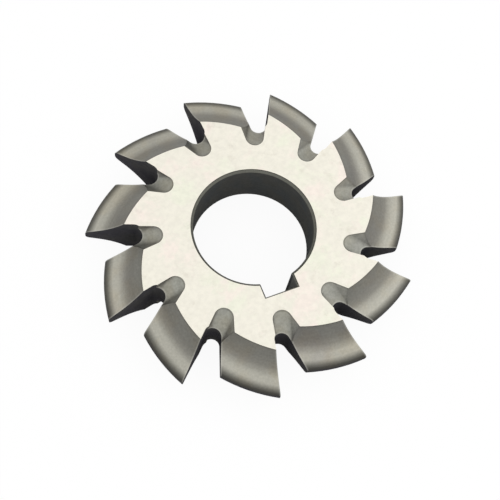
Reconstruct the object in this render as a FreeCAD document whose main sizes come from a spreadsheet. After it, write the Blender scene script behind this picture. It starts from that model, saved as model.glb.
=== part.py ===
"""Involute gear milling cutter, one solid piece of tool steel.

The cutter is a turned disc with a keyed bore, and eleven teeth stand on its rim. Each tooth carries
the form of a gear's tooth space on its flat radial cutting face. It keeps that form while it falls
away behind the edge, because the backing-off cut moves the same outline towards the axis as the disc
turns. Between the teeth lie the chip gullets, with a recess sunk into each side face.

Frame: +Z is the bore axis, the origin is the bore's centre at mid-thickness, and the keyway points
along -Y. Lengths are millimetres and angles are degrees.
"""
import FreeCAD, Part
import Sketcher
import math
import os

SIZES = {
    "outer_diameter": 61.0,
    "side_width": 10.35,
    "tooth_count": 11,
    "bore_diameter": 22.0,
    "bore_chamfer": 0.45,
    "keyway_width": 6.1,
    "keyway_reach": 13.3,
    "keyway_break": 0.25,
    "keyway_lead": 12.4,
    "tip_width": 2.1,
    "tip_round": 0.9,
    "flank_taper": 19.1,
    "flank_depth": 2.06,
    "flare_radius": 10.3,
    "relief_drop": 5.1,
    "relief_middle": 10.5,
    "relief_lead": 1.0,
    "relief_runout": 3.0,
    "relief_share": 0.8,
    "gullet_floor_radius": 20.0,
    "gullet_round": 1.55,
    "gullet_heel_angle": 23.7,
    "recess_depth": 2.8,
    "recess_slope": 25.3,
    "recess_turn": 2.3,
    "recess_standoff": 0.3,
    "recess_floor_radius": 16.3,
    "recess_round": 1.73,
    "recess_heel_angle": 26.9,
    "overcut": 1.0,
}

NODE = "gear_cutter"
LINE = "Part::GeomLine"

# Places nearer than this are the same place.
TOUCH = 0.001

# Turn of the first tooth's cutting face from +X, and the radius that every gullet is cut out to.
FIRST_FACE = "-90 - sizes.keyway_lead"
OUTSIDE = "sizes.outer_diameter / 2 + sizes.overcut"

# Names of the point positions and of the fixed elements in a sketch.
START, END, CENTRE = range(1, 4)
X_AXIS = -1
ORIGIN = (X_AXIS, START)

doc = FreeCAD.newDocument(NODE)
sheet = doc.addObject("Spreadsheet::Sheet", "sizes")
for row, (alias, value) in enumerate(SIZES.items(), start=1):
    sheet.set("A%d" % row, alias)
    sheet.set("B%d" % row, str(value))
    sheet.setAlias("B%d" % row, alias)
doc.recompute()

body = doc.addObject("PartDesign::Body", NODE)
body.Label = NODE


def size(alias):
    """Value of one cell of the sheet."""
    return float(getattr(sheet, alias))


def origin_feature(role):
    """Plane or axis of the body's own origin."""
    return next(item for item in body.Origin.OriginFeatures if item.Role == role)


def sketch_on(name, plane_role, turn_axis=None, turn=None, lift=None):
    """Sketch on an origin plane, turned and lifted by expressions where they are given."""
    sketch = body.newObject("Sketcher::SketchObject", name)
    sketch.AttachmentSupport = [(origin_feature(plane_role), "")]
    sketch.MapMode = "FlatFace"
    if turn:
        sketch.AttachmentOffset = FreeCAD.Placement(FreeCAD.Vector(), FreeCAD.Rotation(turn_axis, 1))
        sketch.setExpression("AttachmentOffset.Rotation.Angle", turn)
    if lift:
        sketch.setExpression("AttachmentOffset.Base.z", lift)
    return sketch


def point(x, y):
    """Point of a sketch's plane."""
    return FreeCAD.Vector(x, y, 0)


def polar(centre, radius, angle):
    """Point at a radius and an angle in radians from a centre."""
    return centre + point(radius * math.cos(angle), radius * math.sin(angle))


def add_line(sketch, start, end):
    return sketch.addGeometry(Part.LineSegment(start, end), False)


def add_arc(sketch, centre, radius, start_angle, end_angle):
    """Arc from the start angle counter-clockwise to the end angle, in radians."""
    circle = Part.Circle(centre, FreeCAD.Vector(0, 0, 1), radius)
    return sketch.addGeometry(Part.ArcOfCircle(circle, start_angle, end_angle), False)


def join(sketch, kind, *ends):
    """Join the ends of two edges, Coincident at a corner or Tangent where they run on smoothly."""
    sketch.addConstraint(Sketcher.Constraint(kind, *ends))


def drive(sketch, name, expression, *constraint):
    """Dimension of a sketch that follows the sheet."""
    index = sketch.addConstraint(Sketcher.Constraint(*constraint))
    sketch.renameConstraint(index, name)
    sketch.setExpression("Constraints." + name, expression)


def turned_blank():
    """Ring with a chamfered bore, turned about the Z axis from its half section."""
    outer = size("outer_diameter") / 2
    bore = size("bore_diameter") / 2
    half = size("side_width") / 2
    chamfer = size("bore_chamfer")
    corners = [
        point(bore + chamfer, half),
        point(outer, half),
        point(outer, -half),
        point(bore + chamfer, -half),
        point(bore, chamfer - half),
        point(bore, half - chamfer),
    ]
    sketch = sketch_on("blank_section", "XZ_Plane")
    edges = [add_line(sketch, a, b) for a, b in zip(corners, corners[1:] + corners[:1])]
    for edge, following in zip(edges, edges[1:] + edges[:1]):
        join(sketch, "Coincident", edge, END, following, START)
    top, rim, bottom, lower, wall, upper = edges
    sketch.addConstraint(Sketcher.Constraint("Horizontal", top))
    sketch.addConstraint(Sketcher.Constraint("Symmetric", rim, START, rim, END, X_AXIS))
    sketch.addConstraint(Sketcher.Constraint("Symmetric", wall, START, wall, END, X_AXIS))
    sketch.addConstraint(Sketcher.Constraint("Symmetric", top, START, bottom, END, X_AXIS))
    drive(sketch, "outer", "sizes.outer_diameter / 2", "DistanceX", *ORIGIN, rim, START, outer)
    drive(sketch, "bore", "sizes.bore_diameter / 2", "DistanceX", *ORIGIN, wall, START, bore)
    drive(sketch, "width", "sizes.side_width", "DistanceY", rim, END, rim, START, 2 * half)
    drive(sketch, "chamfer_x", "sizes.bore_chamfer", "DistanceX", upper, START, upper, END, chamfer)
    drive(sketch, "chamfer_y", "sizes.bore_chamfer", "DistanceY", upper, START, upper, END, chamfer)
    blank = body.newObject("PartDesign::Revolution", "blank")
    blank.Profile = sketch
    blank.ReferenceAxis = (sketch, ["V_Axis"])
    blank.Angle = 360
    return blank


def tooth_form():
    """Region outside the tooth form, on a plane through the relief axis.

    The relief axis stands beside the bore's axis, a quarter turn ahead of the tooth's middle, so a
    form that turns about it nears the bore's axis at an even rate along the tooth. The plane meets
    the cutting face's tip and is turned ahead by a small lead. The form is a flat tip with rounded
    corners, a straight run down each side and an arc that flares out past the side face. The region
    reaches out as far as the form has fallen in over the tooth's share of the pitch.
    """
    offset = size("relief_drop") * size("tooth_count") / (2 * math.pi)
    middle = math.radians(size("relief_middle"))
    tip = math.hypot(size("outer_diameter") / 2 - offset * math.sin(middle), offset * math.cos(middle))
    taper = math.radians(size("flank_taper"))
    rounding = size("tip_round")
    half_tip = size("tip_width") / 2
    half_land = half_tip - rounding * math.tan((math.pi / 2 - taper) / 2)
    depth = size("flank_depth")
    flare = size("flare_radius")
    top = size("side_width") / 2 + size("overcut")
    clearance = size("relief_drop") * size("relief_share")
    round_centre = point(tip - rounding, half_land)
    run_start = polar(round_centre, rounding, math.pi / 2 - taper)
    run_end = point(tip - depth, half_tip + depth * math.tan(taper))
    flare_centre = polar(run_end, flare, math.pi / 2 - taper)
    flare_end = -math.pi / 2 - taper
    flare_start = -math.pi + math.asin((flare_centre.y - top) / flare)
    flare_top = polar(flare_centre, flare, flare_start)

    def below(upper_point):
        return point(upper_point.x, -upper_point.y)

    aside = "sizes.relief_drop * sizes.tooth_count / (2 * pi)"
    along_face = "(sizes.outer_diameter / 2 - %s * sin(sizes.relief_middle))" % aside
    off_face = "(%s * cos(sizes.relief_middle))" % aside
    axis_angle = "(%s - sizes.relief_middle + 90)" % FIRST_FACE
    lean = "atan(%s / %s) / 1 deg" % (off_face, along_face)
    turn = "%s + sizes.relief_lead - %s" % (FIRST_FACE, lean)
    sketch = sketch_on("tooth_form", "XZ_Plane", FreeCAD.Vector(0, 1, 0), turn)
    sketch.setExpression("AttachmentOffset.Base.x", "%s * cos(%s)" % (aside, axis_angle))
    sketch.setExpression("AttachmentOffset.Base.z", "-%s * sin(%s)" % (aside, axis_angle))
    land = add_line(sketch, point(tip, -half_land), point(tip, half_land))
    upper_round = add_arc(sketch, round_centre, rounding, 0, math.pi / 2 - taper)
    upper_run = add_line(sketch, run_start, run_end)
    upper_flare = add_arc(sketch, flare_centre, flare, flare_start, flare_end)
    ceiling = add_line(sketch, flare_top, point(tip + clearance, top))
    outside = add_line(sketch, point(tip + clearance, top), point(tip + clearance, -top))
    floor = add_line(sketch, point(tip + clearance, -top), below(flare_top))
    lower_flare = add_arc(sketch, below(flare_centre), flare, -flare_end, -flare_start)
    lower_run = add_line(sketch, below(run_end), below(run_start))
    lower_round = add_arc(sketch, below(round_centre), rounding, taper - math.pi / 2, 0)

    join(sketch, "Tangent", land, END, upper_round, START)
    join(sketch, "Tangent", upper_round, END, upper_run, START)
    join(sketch, "Tangent", upper_run, END, upper_flare, END)
    join(sketch, "Coincident", upper_flare, START, ceiling, START)
    join(sketch, "Coincident", ceiling, END, outside, START)
    join(sketch, "Coincident", outside, END, floor, START)
    join(sketch, "Coincident", floor, END, lower_flare, END)
    join(sketch, "Tangent", lower_flare, START, lower_run, START)
    join(sketch, "Tangent", lower_run, END, lower_round, START)
    join(sketch, "Tangent", lower_round, END, land, START)
    sketch.addConstraint(Sketcher.Constraint("Horizontal", ceiling))
    sketch.addConstraint(Sketcher.Constraint("Horizontal", floor))
    sketch.addConstraint(Sketcher.Constraint("Equal", upper_round, lower_round))
    sketch.addConstraint(Sketcher.Constraint("Equal", upper_flare, lower_flare))
    sketch.addConstraint(Sketcher.Constraint("Symmetric", land, START, land, END, X_AXIS))
    sketch.addConstraint(Sketcher.Constraint("Symmetric", outside, START, outside, END, X_AXIS))
    sketch.addConstraint(Sketcher.Constraint("Symmetric", upper_run, END, lower_run, START, X_AXIS))

    corner = sketch.addGeometry(Part.Point(point(tip, half_tip)), True)
    sketch.addConstraint(Sketcher.Constraint("PointOnObject", corner, START, land))
    sketch.addConstraint(Sketcher.Constraint("PointOnObject", corner, START, upper_run))
    reach = "sqrt(%s ^ 2 + %s ^ 2)" % (along_face, off_face)
    drive(sketch, "tip", reach, "DistanceX", *ORIGIN, land, START, tip)
    drive(sketch, "half_tip", "sizes.tip_width / 2", "DistanceY", *ORIGIN, corner, START, half_tip)
    drive(sketch, "rounding", "sizes.tip_round", "Radius", upper_round, rounding)
    drive(sketch, "taper", "180 - sizes.flank_taper", "Angle", upper_run, math.pi - taper)
    drive(sketch, "depth", "sizes.flank_depth", "DistanceX", upper_run, END, land, START, depth)
    drive(sketch, "flare", "sizes.flare_radius", "Radius", upper_flare, flare)
    drive(sketch, "top", "sizes.side_width / 2 + sizes.overcut", "DistanceY", *ORIGIN, ceiling, START, top)
    drive(sketch, "clearance", "sizes.relief_drop * sizes.relief_share",
          "DistanceX", land, START, outside, START, clearance)
    return sketch


def backing_off():
    """Cut behind the first cutting face, which turns the tooth form about the relief axis."""
    form = tooth_form()
    cut = body.newObject("PartDesign::Groove", "backing_off")
    cut.Profile = form
    cut.ReferenceAxis = (form, ["V_Axis"])
    cut.Reversed = True
    cut.setExpression("Angle", "360 / sizes.tooth_count + sizes.relief_lead - sizes.relief_runout")
    return cut


def outline_by_face(name, prefix, standoff=None, lift=None):
    """Outline of a gullet or recess, drawn with the first cutting face along the X axis.

    It runs in along the cutting face, or a standoff from it, turns round the floor and goes out
    along the heel of the tooth ahead.
    """
    outside = size("outer_diameter") / 2 + size("overcut")
    radius = size(prefix + "_round")
    heel = math.radians(size(prefix + "_heel_angle"))
    near = size(standoff) if standoff else 0
    centre = point(size(prefix + "_floor_radius") + radius, near + radius)
    heel_start = polar(centre, radius, heel + math.pi / 2)
    heel_top = point(outside, heel_start.y + (outside - heel_start.x) * math.tan(heel))

    sketch = sketch_on(name, "XY_Plane", FreeCAD.Vector(0, 0, 1), FIRST_FACE, lift)
    face = add_line(sketch, point(outside, near), point(centre.x, near))
    turn = add_arc(sketch, centre, radius, heel + math.pi / 2, 3 * math.pi / 2)
    back = add_line(sketch, heel_start, heel_top)
    mouth = add_line(sketch, heel_top, point(outside, near))
    join(sketch, "Tangent", face, END, turn, END)
    join(sketch, "Tangent", turn, START, back, START)
    join(sketch, "Coincident", back, END, mouth, START)
    join(sketch, "Coincident", mouth, END, face, START)
    sketch.addConstraint(Sketcher.Constraint("Horizontal", face))
    sketch.addConstraint(Sketcher.Constraint("Vertical", mouth))
    if standoff:
        drive(sketch, "standoff", "sizes." + standoff, "DistanceY", *ORIGIN, face, START, near)
    else:
        sketch.addConstraint(Sketcher.Constraint("PointOnObject", face, START, X_AXIS))
    floor = "sizes.%s_floor_radius + sizes.%s_round" % (prefix, prefix)
    drive(sketch, "outside", OUTSIDE, "DistanceX", *ORIGIN, face, START, outside)
    drive(sketch, "rounding", "sizes.%s_round" % prefix, "Radius", turn, radius)
    drive(sketch, "floor", floor, "DistanceX", *ORIGIN, turn, CENTRE, centre.x)
    drive(sketch, "heel", "sizes.%s_heel_angle" % prefix, "Angle", back, heel)
    return sketch


def through_cut(name, sketch):
    """Pocket through the whole thickness, from a sketch at mid-thickness."""
    cut = body.newObject("PartDesign::Pocket", name)
    cut.Profile = sketch
    cut.Midplane = True
    cut.setExpression("Length", "sizes.side_width + 2 * sizes.overcut")
    return cut


def recess_cut(name, side):
    """Recess that slopes outwards from its mouth in a side face down into the straight gullet."""
    face_height = "%d * sizes.side_width / 2" % side
    slope = math.radians(size("recess_slope"))
    turn = FIRST_FACE + " - sizes.recess_turn"
    path = sketch_on(name + "_path", "XZ_Plane", FreeCAD.Vector(0, 1, 0), turn)
    down = add_line(path, point(0, 0), point(math.cos(slope), -side * math.sin(slope)))
    join(path, "Coincident", down, START, *ORIGIN)
    drive(path, "run", "cos(sizes.recess_slope)", "DistanceX", *ORIGIN, down, END, math.cos(slope))
    fall = (down, END, *ORIGIN) if side > 0 else (*ORIGIN, down, END)
    drive(path, "fall", "sin(sizes.recess_slope)", "DistanceY", *fall, math.sin(slope))
    cut = body.newObject("PartDesign::Pocket", name)
    cut.Profile = outline_by_face(name + "_mouth", "recess", "recess_standoff", face_height)
    cut.ReferenceAxis = (path, ["Edge1"])
    cut.Reversed = True
    cut.setExpression("Length", "sizes.recess_depth")
    return cut


def keyway_cut():
    """Keyway from the bore outwards along -Y, through the whole thickness."""
    half = size("keyway_width") / 2
    reach = size("keyway_reach")
    sketch = sketch_on("keyway", "XY_Plane")
    corners = [point(-half, 0), point(-half, -reach), point(half, -reach), point(half, 0)]
    edges = [add_line(sketch, a, b) for a, b in zip(corners, corners[1:] + corners[:1])]
    left, bottom, right, top = edges
    for edge, following in zip(edges, edges[1:] + edges[:1]):
        join(sketch, "Coincident", edge, END, following, START)
    sketch.addConstraint(Sketcher.Constraint("Symmetric", top, START, top, END, *ORIGIN))
    for edge in (top, bottom):
        sketch.addConstraint(Sketcher.Constraint("Horizontal", edge))
    for edge in (left, right):
        sketch.addConstraint(Sketcher.Constraint("Vertical", edge))
    drive(sketch, "width", "sizes.keyway_width", "DistanceX", bottom, START, bottom, END, 2 * half)
    drive(sketch, "reach", "sizes.keyway_reach", "DistanceY", bottom, END, *ORIGIN, reach)
    return through_cut("keyway_cut", sketch)


def on_keyway_rim(edge):
    """Whether an edge is one of the keyway's straight edges in a side face."""
    middle = edge.CenterOfMass
    in_side = abs(abs(middle.z) - size("side_width") / 2) < TOUCH
    in_width = abs(middle.x) < size("keyway_width") / 2 + TOUCH
    in_reach = -size("keyway_reach") - TOUCH < middle.y < 0
    return in_side and in_width and in_reach and edge.Curve.TypeId == LINE


turned_blank()
tooth_cuts = [
    backing_off(),
    through_cut("gullet_cut", outline_by_face("gullet", "gullet")),
    recess_cut("upper_recess", 1),
    recess_cut("lower_recess", -1),
]
doc.recompute()

teeth = body.newObject("PartDesign::PolarPattern", "teeth")
teeth.Originals = tooth_cuts
teeth.Axis = (origin_feature("Z_Axis"), [""])
teeth.Angle = 360
teeth.setExpression("Occurrences", "sizes.tooth_count")
body.Tip = teeth
doc.recompute()

keyway = keyway_cut()
doc.recompute()

rim = [i for i, edge in enumerate(body.Shape.Edges, start=1) if on_keyway_rim(edge)]
edge_break = body.newObject("PartDesign::Chamfer", "edge_break")
edge_break.Base = (keyway, ["Edge%d" % i for i in rim])
edge_break.setExpression("Size", "sizes.keyway_break")
doc.recompute()

for item in doc.Objects:
    if "Invalid" in item.State or "Error" in item.State:
        raise RuntimeError("%s did not recompute" % item.Label)
for cut in (*tooth_cuts, teeth, keyway, edge_break):
    if cut.Shape.Volume >= cut.BaseFeature.Shape.Volume:
        raise RuntimeError("%s cuts nothing" % cut.Label)
if body.Shape.isNull() or not body.Shape.isValid() or len(body.Shape.Solids) != 1:
    raise RuntimeError("the cutter is not one valid solid")

os.makedirs("parts", exist_ok=True)
body.Shape.exportStep("parts/%s.step" % NODE)
print("volume %.1f mm3" % body.Shape.Volume, "faces", len(body.Shape.Faces))
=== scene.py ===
"""The looks of the involute gear cutter: ground tool steel on a plain white ground."""
import math
from typing import NamedTuple

import bpy
from mathutils import Matrix, Vector


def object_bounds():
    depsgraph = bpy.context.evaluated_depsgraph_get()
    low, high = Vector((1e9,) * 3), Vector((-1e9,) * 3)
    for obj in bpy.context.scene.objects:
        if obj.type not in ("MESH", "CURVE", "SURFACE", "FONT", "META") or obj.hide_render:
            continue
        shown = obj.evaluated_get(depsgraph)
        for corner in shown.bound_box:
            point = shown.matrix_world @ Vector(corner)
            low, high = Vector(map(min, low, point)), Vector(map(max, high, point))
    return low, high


MM = 0.001

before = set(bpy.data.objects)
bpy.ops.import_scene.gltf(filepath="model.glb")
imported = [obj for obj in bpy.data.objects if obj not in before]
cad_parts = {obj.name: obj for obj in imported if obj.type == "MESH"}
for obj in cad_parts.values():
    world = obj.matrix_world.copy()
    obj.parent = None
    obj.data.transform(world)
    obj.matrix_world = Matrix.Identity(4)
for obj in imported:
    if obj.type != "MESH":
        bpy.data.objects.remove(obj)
cad_box = [list(corner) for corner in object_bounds()]
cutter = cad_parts["gear_cutter"]

# The part's own sizes, in metres and radians: heights from mid-thickness, radii from the bore axis,
# and the first tooth's cutting face as a turn from +X.
HALF_WIDTH = cad_box[1][2]
BORE_RADIUS = 11.0 * MM
KEYWAY_REACH = 13.3 * MM
TOOTH_COUNT = 11
PITCH = 2 * math.pi / TOOTH_COUNT
FIRST_FACE = math.radians(-102.4)

# The tooth form nears the axis by this much for each radian behind the cutting face.
RELIEF_RATE = 5.1 * MM / PITCH

# The form radii where the flank leaves the side face and where it reaches the tip, and how steeply
# the flank falls at first. A recess lies deeper than that slope.
FLANK_START = 23.6 * MM
FLANK_END = 30.5 * MM
FLANK_FALL = 0.95

# The straight gullet beside a cutting face: its floor's centre and radius, and its heel wall's turn.
GULLET_ROUND = 1.55 * MM
GULLET_CENTRE = 21.55 * MM
HEEL_TURN = math.radians(23.7)

# The gullets and their painted edge highlights lie outside this radius.
GULLET_ZONE = 15.0 * MM

# How far up a surface faces, from 0 on a wall to 1 on a side face, where one finish gives way to
# the next.
SLOPES_BEGIN = (0.02, 0.1)
SATIN_BEGINS = (0.12, 0.62)
CHAMFER_BEGINS = (0.3, 0.65)
SIDE_BEGINS = (0.985, 0.999)

# Where a band is full and where it fades: the painted highlight by a gullet's edge and the painted
# shade under the side face.
HIGHLIGHT_BAND = (0.08 * MM, 0.3 * MM)
SIDE_SHADE = (0.05 * MM, 0.2 * MM)
CHAMFER_SHADE = (0.04 * MM, 0.14 * MM)
CHAMFER_DEPTH = (0.5 * MM, 0.62 * MM)
HIGHLIGHT_SHARE = 0.28
SIDE_SHADE_SHARE = 0.4

# Where a recess gives way to the flank, as heights over the flank's first slope, where the bore wall
# gives way to the keyway, and where the finish of bore and keyway ends.
FLANK_BEGINS = (-0.8 * MM, -0.2 * MM)
KEYWAY_BEGINS = (BORE_RADIUS + 0.5 * MM, BORE_RADIUS + 0.8 * MM)
HUB_EDGE = KEYWAY_REACH + 0.2 * MM

# The gloss of the steel: rough satin, metallic on the slopes and the side faces alone. Its slight
# relief is made of the streaks by their share, and of the grain by the rest.
METAL_SHARE = 0.8
ROUGHNESS = 0.42
BUMP_STRENGTH = 0.12
BUMP_HEIGHT = 0.02 * MM
STREAK_RELIEF = 0.6

# Scratches run along a wall's radius and streaks along a tooth: how the place is scaled along and
# across them, and how far the pattern moves on from one tooth to the next.
SCRATCH_ALONG = 0.3
SCRATCH_STEP = 0.1
STREAK_ALONG = 0.02
STREAK_ACROSS = 4.0
STREAK_STEP = 0.37

# The second set of clouds on a side face is the noise of a place this far away.
CLOUD_SHIFT = (0.05, 0.02, 0.0)

# The camera, worked out from the cutter's edges in the photograph. It aims at a point of the upper
# side face, given from the bore axis.
CAMERA_AIM = Vector((-2.41 * MM, -4.08 * MM, HALF_WIDTH))
CAMERA_DISTANCE = 165.7 * MM
CAMERA_AZIMUTH = math.radians(-124.31)
CAMERA_ELEVATION = math.radians(67.81)
CAMERA_ROLL = math.radians(13.42)
LENS = 66.79
SENSOR = 36.0
NEAREST_SEEN = 0.01

# The floor shines by this share and shows shadow with the rest, and lies this far under the cutter.
FLOOR_GLOW = 0.93
FLOOR_GAP = 0.02 * MM
FLOOR_HALF = 3.0
FILL_STRENGTH = 0.75


class Pattern(NamedTuple):
    """Noise of so many cells a metre, which gives one number to another between two of its levels."""

    scale: float
    detail: float
    roughness: float
    between: tuple
    gives: tuple = (0.0, 1.0)


PINK_CLOUDS = Pattern(scale=170, detail=4.0, roughness=0.62, between=(0.5, 0.68))
GREEN_CLOUDS = Pattern(scale=150, detail=4.0, roughness=0.62, between=(0.5, 0.68))
SMUDGES = Pattern(scale=420, detail=5.0, roughness=0.7, between=(0.54, 0.72))
MOTTLE = Pattern(scale=1100, detail=3.0, roughness=0.6, between=(0.25, 0.75), gives=(0.955, 1.035))
PITS = Pattern(scale=1500, detail=3.0, roughness=0.65, between=(0.3, 0.7), gives=(0.9, 1.06))
WARM_CLOUDS = Pattern(scale=210, detail=3.0, roughness=0.55, between=(0.4, 0.65))
COOL_CLOUDS = Pattern(scale=150, detail=2.0, roughness=0.5, between=(0.5, 0.7))
WALL_CLOUDS = Pattern(scale=240, detail=3.0, roughness=0.55, between=(0.4, 0.65))
SCRATCHES = Pattern(scale=2400, detail=2.0, roughness=0.55, between=(0.3, 0.7), gives=(0.93, 1.06))
STREAKS = Pattern(scale=200, detail=3.0, roughness=0.6, between=(0.25, 0.75), gives=(0.955, 1.035))
GRAIN = Pattern(scale=2600, detail=2.0, roughness=0.6, between=(0.2, 0.8), gives=(0.91, 1.08))


class Nodes:
    """Short way to add shader nodes to one material."""

    def __init__(self, name):
        self.material = bpy.data.materials.new(name)
        self.material.use_nodes = True
        self.tree = self.material.node_tree
        self.tree.nodes.clear()

    def add(self, kind, inputs=None, **settings):
        """Node with its settings, and inputs that are values or other nodes' outputs."""
        node = self.tree.nodes.new("ShaderNode" + kind)
        for name, value in settings.items():
            setattr(node, name, value)
        for name, value in (inputs or {}).items():
            if isinstance(value, bpy.types.NodeSocket):
                self.tree.links.new(value, node.inputs[name])
            else:
                node.inputs[name].default_value = value
        return node

    def math(self, operation, first, second=None):
        """Number worked out from one or two numbers."""
        given = {i: value for i, value in enumerate((first, second)) if value is not None}
        return self.add("Math", given, operation=operation).outputs[0]

    def product(self, first, *others):
        """Numbers multiplied with each other."""
        for other in others:
            first = self.math("MULTIPLY", first, other)
        return first

    def vector(self, x, y, z):
        return self.add("CombineXYZ", {0: x, 1: y, 2: z}).outputs[0]

    def parts(self, vector):
        """The three numbers of a vector."""
        return self.add("SeparateXYZ", {0: vector}).outputs

    def mix(self, factor, first, second):
        """Colour between two colours."""
        inputs = {0: factor, 6: first, 7: second}
        return self.add("Mix", inputs, data_type="RGBA").outputs[2]

    def tint(self, factor, base, colour_by):
        """Colour multiplied by another, as far as the factor says."""
        inputs = {0: factor, 6: base, 7: colour_by}
        return self.add("Mix", inputs, data_type="RGBA", blend_type="MULTIPLY").outputs[2]

    def tone(self, base, brightness):
        """Colour made lighter or darker by a number around 1."""
        return self.tint(1.0, base, self.vector(brightness, brightness, brightness))

    def ramp(self, value, *stops):
        """Colour that runs through the stops, each a place from 0 to 1 and a colour."""
        node = self.add("ValToRGB", {0: value})
        elements = node.color_ramp.elements
        while len(elements) < len(stops):
            elements.new(0.5)
        for element, (place, tone) in zip(elements, stops):
            element.position = place
            element.color = tone
        return node.outputs[0]

    def step(self, value, low, high, start=0.0, end=1.0, linear=False):
        """Number that goes from its start at low to its end at high, smoothly or in a straight line."""
        inputs = {"Value": value, "From Min": low, "From Max": high, "To Min": start, "To Max": end}
        kind = "LINEAR" if linear else "SMOOTHSTEP"
        return self.add("MapRange", inputs, interpolation_type=kind).outputs[0]

    def within(self, value, full, gone):
        """Number that is 1 up to one value and fades to 0 at a larger one."""
        return self.step(value, full, gone, 1.0, 0.0)

    def noise(self, place, pattern):
        """The pattern's own noise, around 0.5."""
        inputs = {"Vector": place, "Scale": pattern.scale, "Detail": pattern.detail,
                  "Roughness": pattern.roughness}
        return self.add("TexNoise", inputs).outputs[0]

    def spread(self, noise, pattern):
        """The number that the pattern gives for its noise."""
        return self.step(noise, *pattern.between, *pattern.gives)

    def pattern(self, place, pattern):
        """The number that the pattern gives at a place."""
        return self.spread(self.noise(place, pattern), pattern)

    def output(self, surface):
        self.add("OutputMaterial", {"Surface": surface})


def colour(red, green, blue):
    """Colour written as it should look on the screen, from 0 to 255 a channel."""
    def linear(value):
        value /= 255
        return value / 12.92 if value <= 0.04045 else ((value + 0.055) / 1.055) ** 2.4
    return (linear(red), linear(green), linear(blue), 1.0)


SIDE = colour(241, 237, 224)
SIDE_PINK = colour(246, 236, 226)
SIDE_GREEN = colour(239, 239, 222)
SMUDGE = colour(245, 244, 243)
FLANK_ROOT_SHADE = colour(117, 116, 110)
FLANK_LOW_SHADE = colour(139, 137, 129)
FLANK = colour(178, 176, 165)
TIP_HALF_SHADE = colour(110, 109, 102)
TIP_SHADE = colour(58, 57, 55)
RECESS = colour(159, 159, 150)
RECESS_HALF_SHADE = colour(140, 139, 132)
RECESS_SHADE = colour(122, 120, 114)
WARM = colour(255, 251, 245)
COOL = colour(246, 245, 248)
WALL_SHADE = colour(69, 68, 72)
WALL_SHADE_WARM = colour(76, 75, 75)
BORE_SHADE = colour(84, 84, 81)
BORE_SHADE_COOL = colour(80, 82, 82)
KEYWAY = colour(112, 112, 110)
RIM = colour(116, 116, 108)
EDGE_HIGHLIGHT = colour(205, 204, 196)
SHADE = colour(120, 118, 108)
FLOOR_GREY = (0.8, 0.8, 0.8, 1.0)
WHITE = (1.0, 1.0, 1.0, 1.0)

# Painted shade in the tones of a flank from its root, 0, to its tip, 1, and of a recess by how far it
# faces up.
FLANK_SHADING = [(0.1, FLANK_ROOT_SHADE), (0.38, FLANK_LOW_SHADE), (0.6, FLANK), (0.75, FLANK), (0.89, TIP_HALF_SHADE),
               (1.0, TIP_SHADE)]
RECESS_SHADING = [(0.3, RECESS_SHADE), (0.6, RECESS_HALF_SHADE), (0.9, RECESS)]


class Spot:
    """The point of the cutter that is being coloured, as numbers that the nodes work out.

    depth is measured from the nearer side face, and up says how far the surface faces up or down.
    The point lies ahead radians past the cutting face that tooth counts, and behind radians short of
    the next one, and form is the radius that its line of the tooth form has at that next face.
    """

    def __init__(self, n):
        self.place = n.add("TexCoord").outputs["Object"]
        x, y, self.z = n.parts(self.place)
        self.depth = n.math("SUBTRACT", HALF_WIDTH, n.math("ABSOLUTE", self.z))
        self.up = n.math("ABSOLUTE", n.parts(n.add("NewGeometry").outputs["True Normal"])[2])
        self.radius = n.math("SQRT", n.math("ADD", n.product(x, x), n.product(y, y)))
        turn = n.math("DIVIDE", n.math("SUBTRACT", n.math("ARCTAN2", y, x), FIRST_FACE), PITCH)
        self.tooth = n.math("FLOOR", turn)
        self.ahead = n.product(n.math("SUBTRACT", turn, self.tooth), PITCH)
        self.behind = n.math("SUBTRACT", PITCH, self.ahead)
        self.form = n.math("ADD", self.radius, n.product(self.behind, RELIEF_RATE))


def gullet_gap(n, spot):
    """Distance in plan from a gullet's nearest edge: its floor, its heel wall or the cutting face."""
    off_x = n.math("SUBTRACT", n.product(spot.radius, n.math("COSINE", spot.ahead)), GULLET_CENTRE)
    off_y = n.math("SUBTRACT", n.product(spot.radius, n.math("SINE", spot.ahead)), GULLET_ROUND)
    squares = n.math("ADD", n.product(off_x, off_x), n.product(off_y, off_y))
    floor_gap = n.math("SUBTRACT", n.math("SQRT", squares), GULLET_ROUND)
    tilt_x = n.product(off_x, math.sin(HEEL_TURN))
    tilt_y = n.product(off_y, math.cos(HEEL_TURN))
    heel_gap = n.math("SUBTRACT", n.math("SUBTRACT", tilt_y, tilt_x), GULLET_ROUND)
    near_floor = n.math("LESS_THAN", off_x, 0.0)
    crease_gap = n.add("Mix", {0: near_floor, 2: heel_gap, 3: floor_gap}).outputs[0]
    face_gap = n.product(spot.radius, n.math("SINE", spot.behind))
    return n.math("MINIMUM", n.math("ABSOLUTE", crease_gap), face_gap)


def side_colour(n, spot):
    """Bright ground face with faint pink and green clouds, smudges and a fine mottle."""
    shifted = n.add("VectorMath", {0: spot.place, 1: CLOUD_SHIFT}).outputs[0]
    pinkish = n.mix(n.pattern(spot.place, PINK_CLOUDS), SIDE, SIDE_PINK)
    base = n.mix(n.pattern(shifted, GREEN_CLOUDS), pinkish, SIDE_GREEN)
    smudged = n.tint(n.pattern(shifted, SMUDGES), base, SMUDGE)
    return n.tone(smudged, n.pattern(spot.place, MOTTLE))


def recess_colour(n, spot):
    """Pitted steel, darker with painted shade where it is steeper."""
    return n.tone(n.ramp(spot.up, *RECESS_SHADING), n.pattern(spot.place, PITS))


def flank_colour(n, spot):
    """Satin steel, light at mid-height, with painted shade that makes it grey at the root and dark at
    the tip.
    """
    reach = n.step(spot.form, FLANK_START, FLANK_END, linear=True)
    return n.ramp(reach, *FLANK_SHADING)


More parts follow.
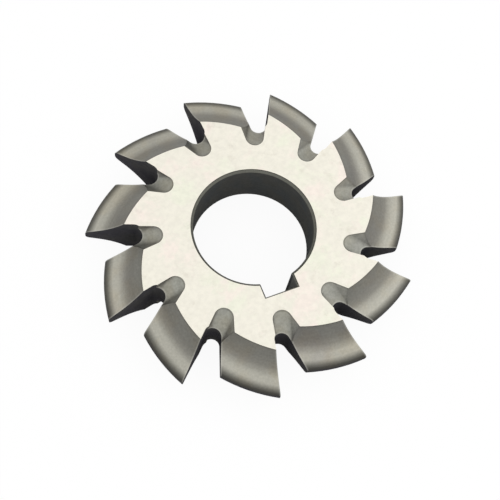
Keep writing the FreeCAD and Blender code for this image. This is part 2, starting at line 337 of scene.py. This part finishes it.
def slope_colour(n, spot):
    """Recesses and flanks, told apart by how deep they lie, with warm and cool clouds."""
    fall = n.product(n.math("SUBTRACT", spot.form, FLANK_START), FLANK_FALL)
    above = n.math("SUBTRACT", fall, spot.depth)
    on_flank = n.step(above, *FLANK_BEGINS)
    base = n.mix(on_flank, recess_colour(n, spot), flank_colour(n, spot))
    base = n.tint(n.pattern(spot.place, WARM_CLOUDS), base, WARM)
    return n.tint(n.pattern(spot.place, COOL_CLOUDS), base, COOL)


def hub_colour(n, spot, bore):
    """Bore wall painted dark as shade, lighter keyway and chamfer, with a painted shade line at the
    chamfer's upper edge.
    """
    base = n.mix(n.step(spot.radius, *KEYWAY_BEGINS), bore, KEYWAY)
    sloped = n.step(spot.up, *CHAMFER_BEGINS)
    on_chamfer = n.math("MAXIMUM", sloped, n.within(spot.depth, *CHAMFER_DEPTH))
    base = n.mix(on_chamfer, base, RIM)
    return n.tint(n.within(spot.depth, *CHAMFER_SHADE), base, SHADE)


def ground_steel():
    """Steel: bright side faces, satin flanks, straight walls painted dark as shade."""
    n = Nodes("ground_steel")
    spot = Spot(n)
    side = n.step(spot.up, *SIDE_BEGINS)
    satin = n.step(spot.up, *SATIN_BEGINS)

    cloudy = n.pattern(spot.place, WALL_CLOUDS)
    scratch_step = n.product(spot.tooth, SCRATCH_STEP)
    scratch_place = n.vector(n.product(spot.radius, SCRATCH_ALONG), scratch_step, spot.z)
    scratches = n.pattern(scratch_place, SCRATCHES)
    # Painted shade: the straight walls, which face sideways, get a dark colour with clouds and
    # scratches.
    wall = n.tone(n.mix(cloudy, WALL_SHADE, WALL_SHADE_WARM), scratches)
    base = n.mix(n.step(spot.up, *SLOPES_BEGIN), wall, slope_colour(n, spot))

    off_side = n.math("SUBTRACT", 1.0, side)
    off_hub = n.math("GREATER_THAN", spot.radius, GULLET_ZONE)
    # Painted highlight along the edges of the gullets and cutting faces, off the side faces and the
    # hub.
    painted_highlight = n.product(n.within(gullet_gap(n, spot), *HIGHLIGHT_BAND), satin, off_side, off_hub)
    base = n.mix(n.product(painted_highlight, HIGHLIGHT_SHARE), base, EDGE_HIGHLIGHT)
    base = n.tint(n.product(n.within(spot.depth, *SIDE_SHADE), SIDE_SHADE_SHARE), base, SHADE)

    # Painted shade: the bore wall gets a dark colour like the straight walls.
    bore = n.tone(n.mix(cloudy, BORE_SHADE, BORE_SHADE_COOL), scratches)
    in_hub = n.math("LESS_THAN", spot.radius, HUB_EDGE)
    base = n.mix(in_hub, base, hub_colour(n, spot, bore))

    along = n.math("ADD", n.product(spot.behind, STREAK_ALONG), spot.tooth)
    streak_place = n.vector(n.product(spot.form, STREAK_ACROSS), n.product(spot.z, STREAK_ACROSS),
                            n.product(along, STREAK_STEP))
    streaks = n.noise(streak_place, STREAKS)
    grain = n.noise(spot.place, GRAIN)
    base = n.tone(base, n.product(n.spread(streaks, STREAKS), n.spread(grain, GRAIN)))
    base = n.mix(side, base, side_colour(n, spot))

    relief = n.math("ADD", n.product(streaks, STREAK_RELIEF), n.product(grain, 1 - STREAK_RELIEF))
    bump = n.add("Bump", {"Strength": BUMP_STRENGTH, "Distance": BUMP_HEIGHT, "Height": relief})
    inputs = {"Base Color": base, "Metallic": n.product(satin, METAL_SHARE), "Roughness": ROUGHNESS,
              "Specular IOR Level": 0.0, "Normal": bump.outputs[0]}
    n.output(n.add("BsdfPrincipled", inputs).outputs[0])
    return n.material


def paint_white(name):
    """White for the camera and in reflections, with a soft shadow, and open to a camera underneath."""
    n = Nodes(name)
    path = n.add("LightPath").outputs
    seen = n.math("MAXIMUM", path["Is Camera Ray"], path["Is Glossy Ray"])
    seen = n.math("MAXIMUM", seen, path["Is Transmission Ray"])
    matte = n.add("BsdfDiffuse", {"Color": FLOOR_GREY}).outputs[0]
    paper = n.add("BsdfDiffuse", {"Color": WHITE}).outputs[0]
    glow = n.add("Emission", {"Color": WHITE, "Strength": 1.0}).outputs[0]
    white = n.add("MixShader", {0: FLOOR_GLOW, 1: paper, 2: glow}).outputs[0]
    surface = n.add("MixShader", {0: seen, 1: matte, 2: white}).outputs[0]
    from_below = n.add("NewGeometry").outputs["Backfacing"]
    open_side = n.product(path["Is Camera Ray"], from_below)
    clear = n.add("BsdfTransparent").outputs[0]
    n.output(n.add("MixShader", {0: open_side, 1: surface, 2: clear}).outputs[0])
    return n.material


def add_floor():
    """Wide floor just under the cutter."""
    half = FLOOR_HALF
    corners = [(-half, -half, 0), (half, -half, 0), (half, half, 0), (-half, half, 0)]
    mesh = bpy.data.meshes.new("floor")
    mesh.from_pydata(corners, [], [(0, 1, 2, 3)])
    floor = bpy.data.objects.new("floor", mesh)
    floor.location.z = -HALF_WIDTH - FLOOR_GAP
    bpy.context.scene.collection.objects.link(floor)
    mesh.materials.append(paint_white("floor_white"))


def add_world():
    """Even pale surroundings, white where the camera sees them."""
    world = bpy.data.worlds.new("studio")
    world.use_nodes = True
    tree = world.node_tree
    tree.nodes.clear()
    path = tree.nodes.new("ShaderNodeLightPath")
    fill = tree.nodes.new("ShaderNodeBackground")
    fill.inputs["Color"].default_value = WHITE
    fill.inputs["Strength"].default_value = FILL_STRENGTH
    white = tree.nodes.new("ShaderNodeBackground")
    white.inputs["Color"].default_value = WHITE
    white.inputs["Strength"].default_value = 1.0
    mix = tree.nodes.new("ShaderNodeMixShader")
    output = tree.nodes.new("ShaderNodeOutputWorld")
    tree.links.new(path.outputs["Is Camera Ray"], mix.inputs[0])
    tree.links.new(fill.outputs[0], mix.inputs[1])
    tree.links.new(white.outputs[0], mix.inputs[2])
    tree.links.new(mix.outputs[0], output.inputs[0])
    bpy.context.scene.world = world


def aim(place, target, roll=0.0):
    """Placement whose own -Z looks from a place to a target."""
    turn = (target - place).to_track_quat("-Z", "Y").to_matrix().to_4x4()
    return Matrix.Translation(place) @ turn @ Matrix.Rotation(roll, 4, "Z")


def add_area_light(name, place, size, power):
    """Square soft light that faces the cutter."""
    data = bpy.data.lights.new(name, "AREA")
    data.size = size
    data.energy = power
    light = bpy.data.objects.new(name, data)
    light.matrix_world = aim(Vector(place), Vector((0, 0, 0)))
    bpy.context.scene.collection.objects.link(light)


def add_camera():
    """Camera at the photograph's viewing angle."""
    data = bpy.data.cameras.new("camera")
    data.lens = LENS
    data.sensor_width = SENSOR
    data.clip_start = NEAREST_SEEN
    flat = CAMERA_DISTANCE * math.cos(CAMERA_ELEVATION)
    height = CAMERA_DISTANCE * math.sin(CAMERA_ELEVATION)
    offset = Vector((flat * math.cos(CAMERA_AZIMUTH), flat * math.sin(CAMERA_AZIMUTH), height))
    camera = bpy.data.objects.new("camera", data)
    camera.matrix_world = aim(CAMERA_AIM + offset, CAMERA_AIM, CAMERA_ROLL)
    bpy.context.scene.collection.objects.link(camera)
    bpy.context.scene.camera = camera


cutter.data.materials.clear()
cutter.data.materials.append(ground_steel())
add_floor()
add_world()
add_area_light("overhead", place=(0.0, 0.0, 0.6), size=1.8, power=2.8)
add_area_light("right", place=(0.58, -0.12, 0.26), size=0.9, power=0.9)
add_camera()
bpy.context.scene.view_settings.view_transform = "Standard"
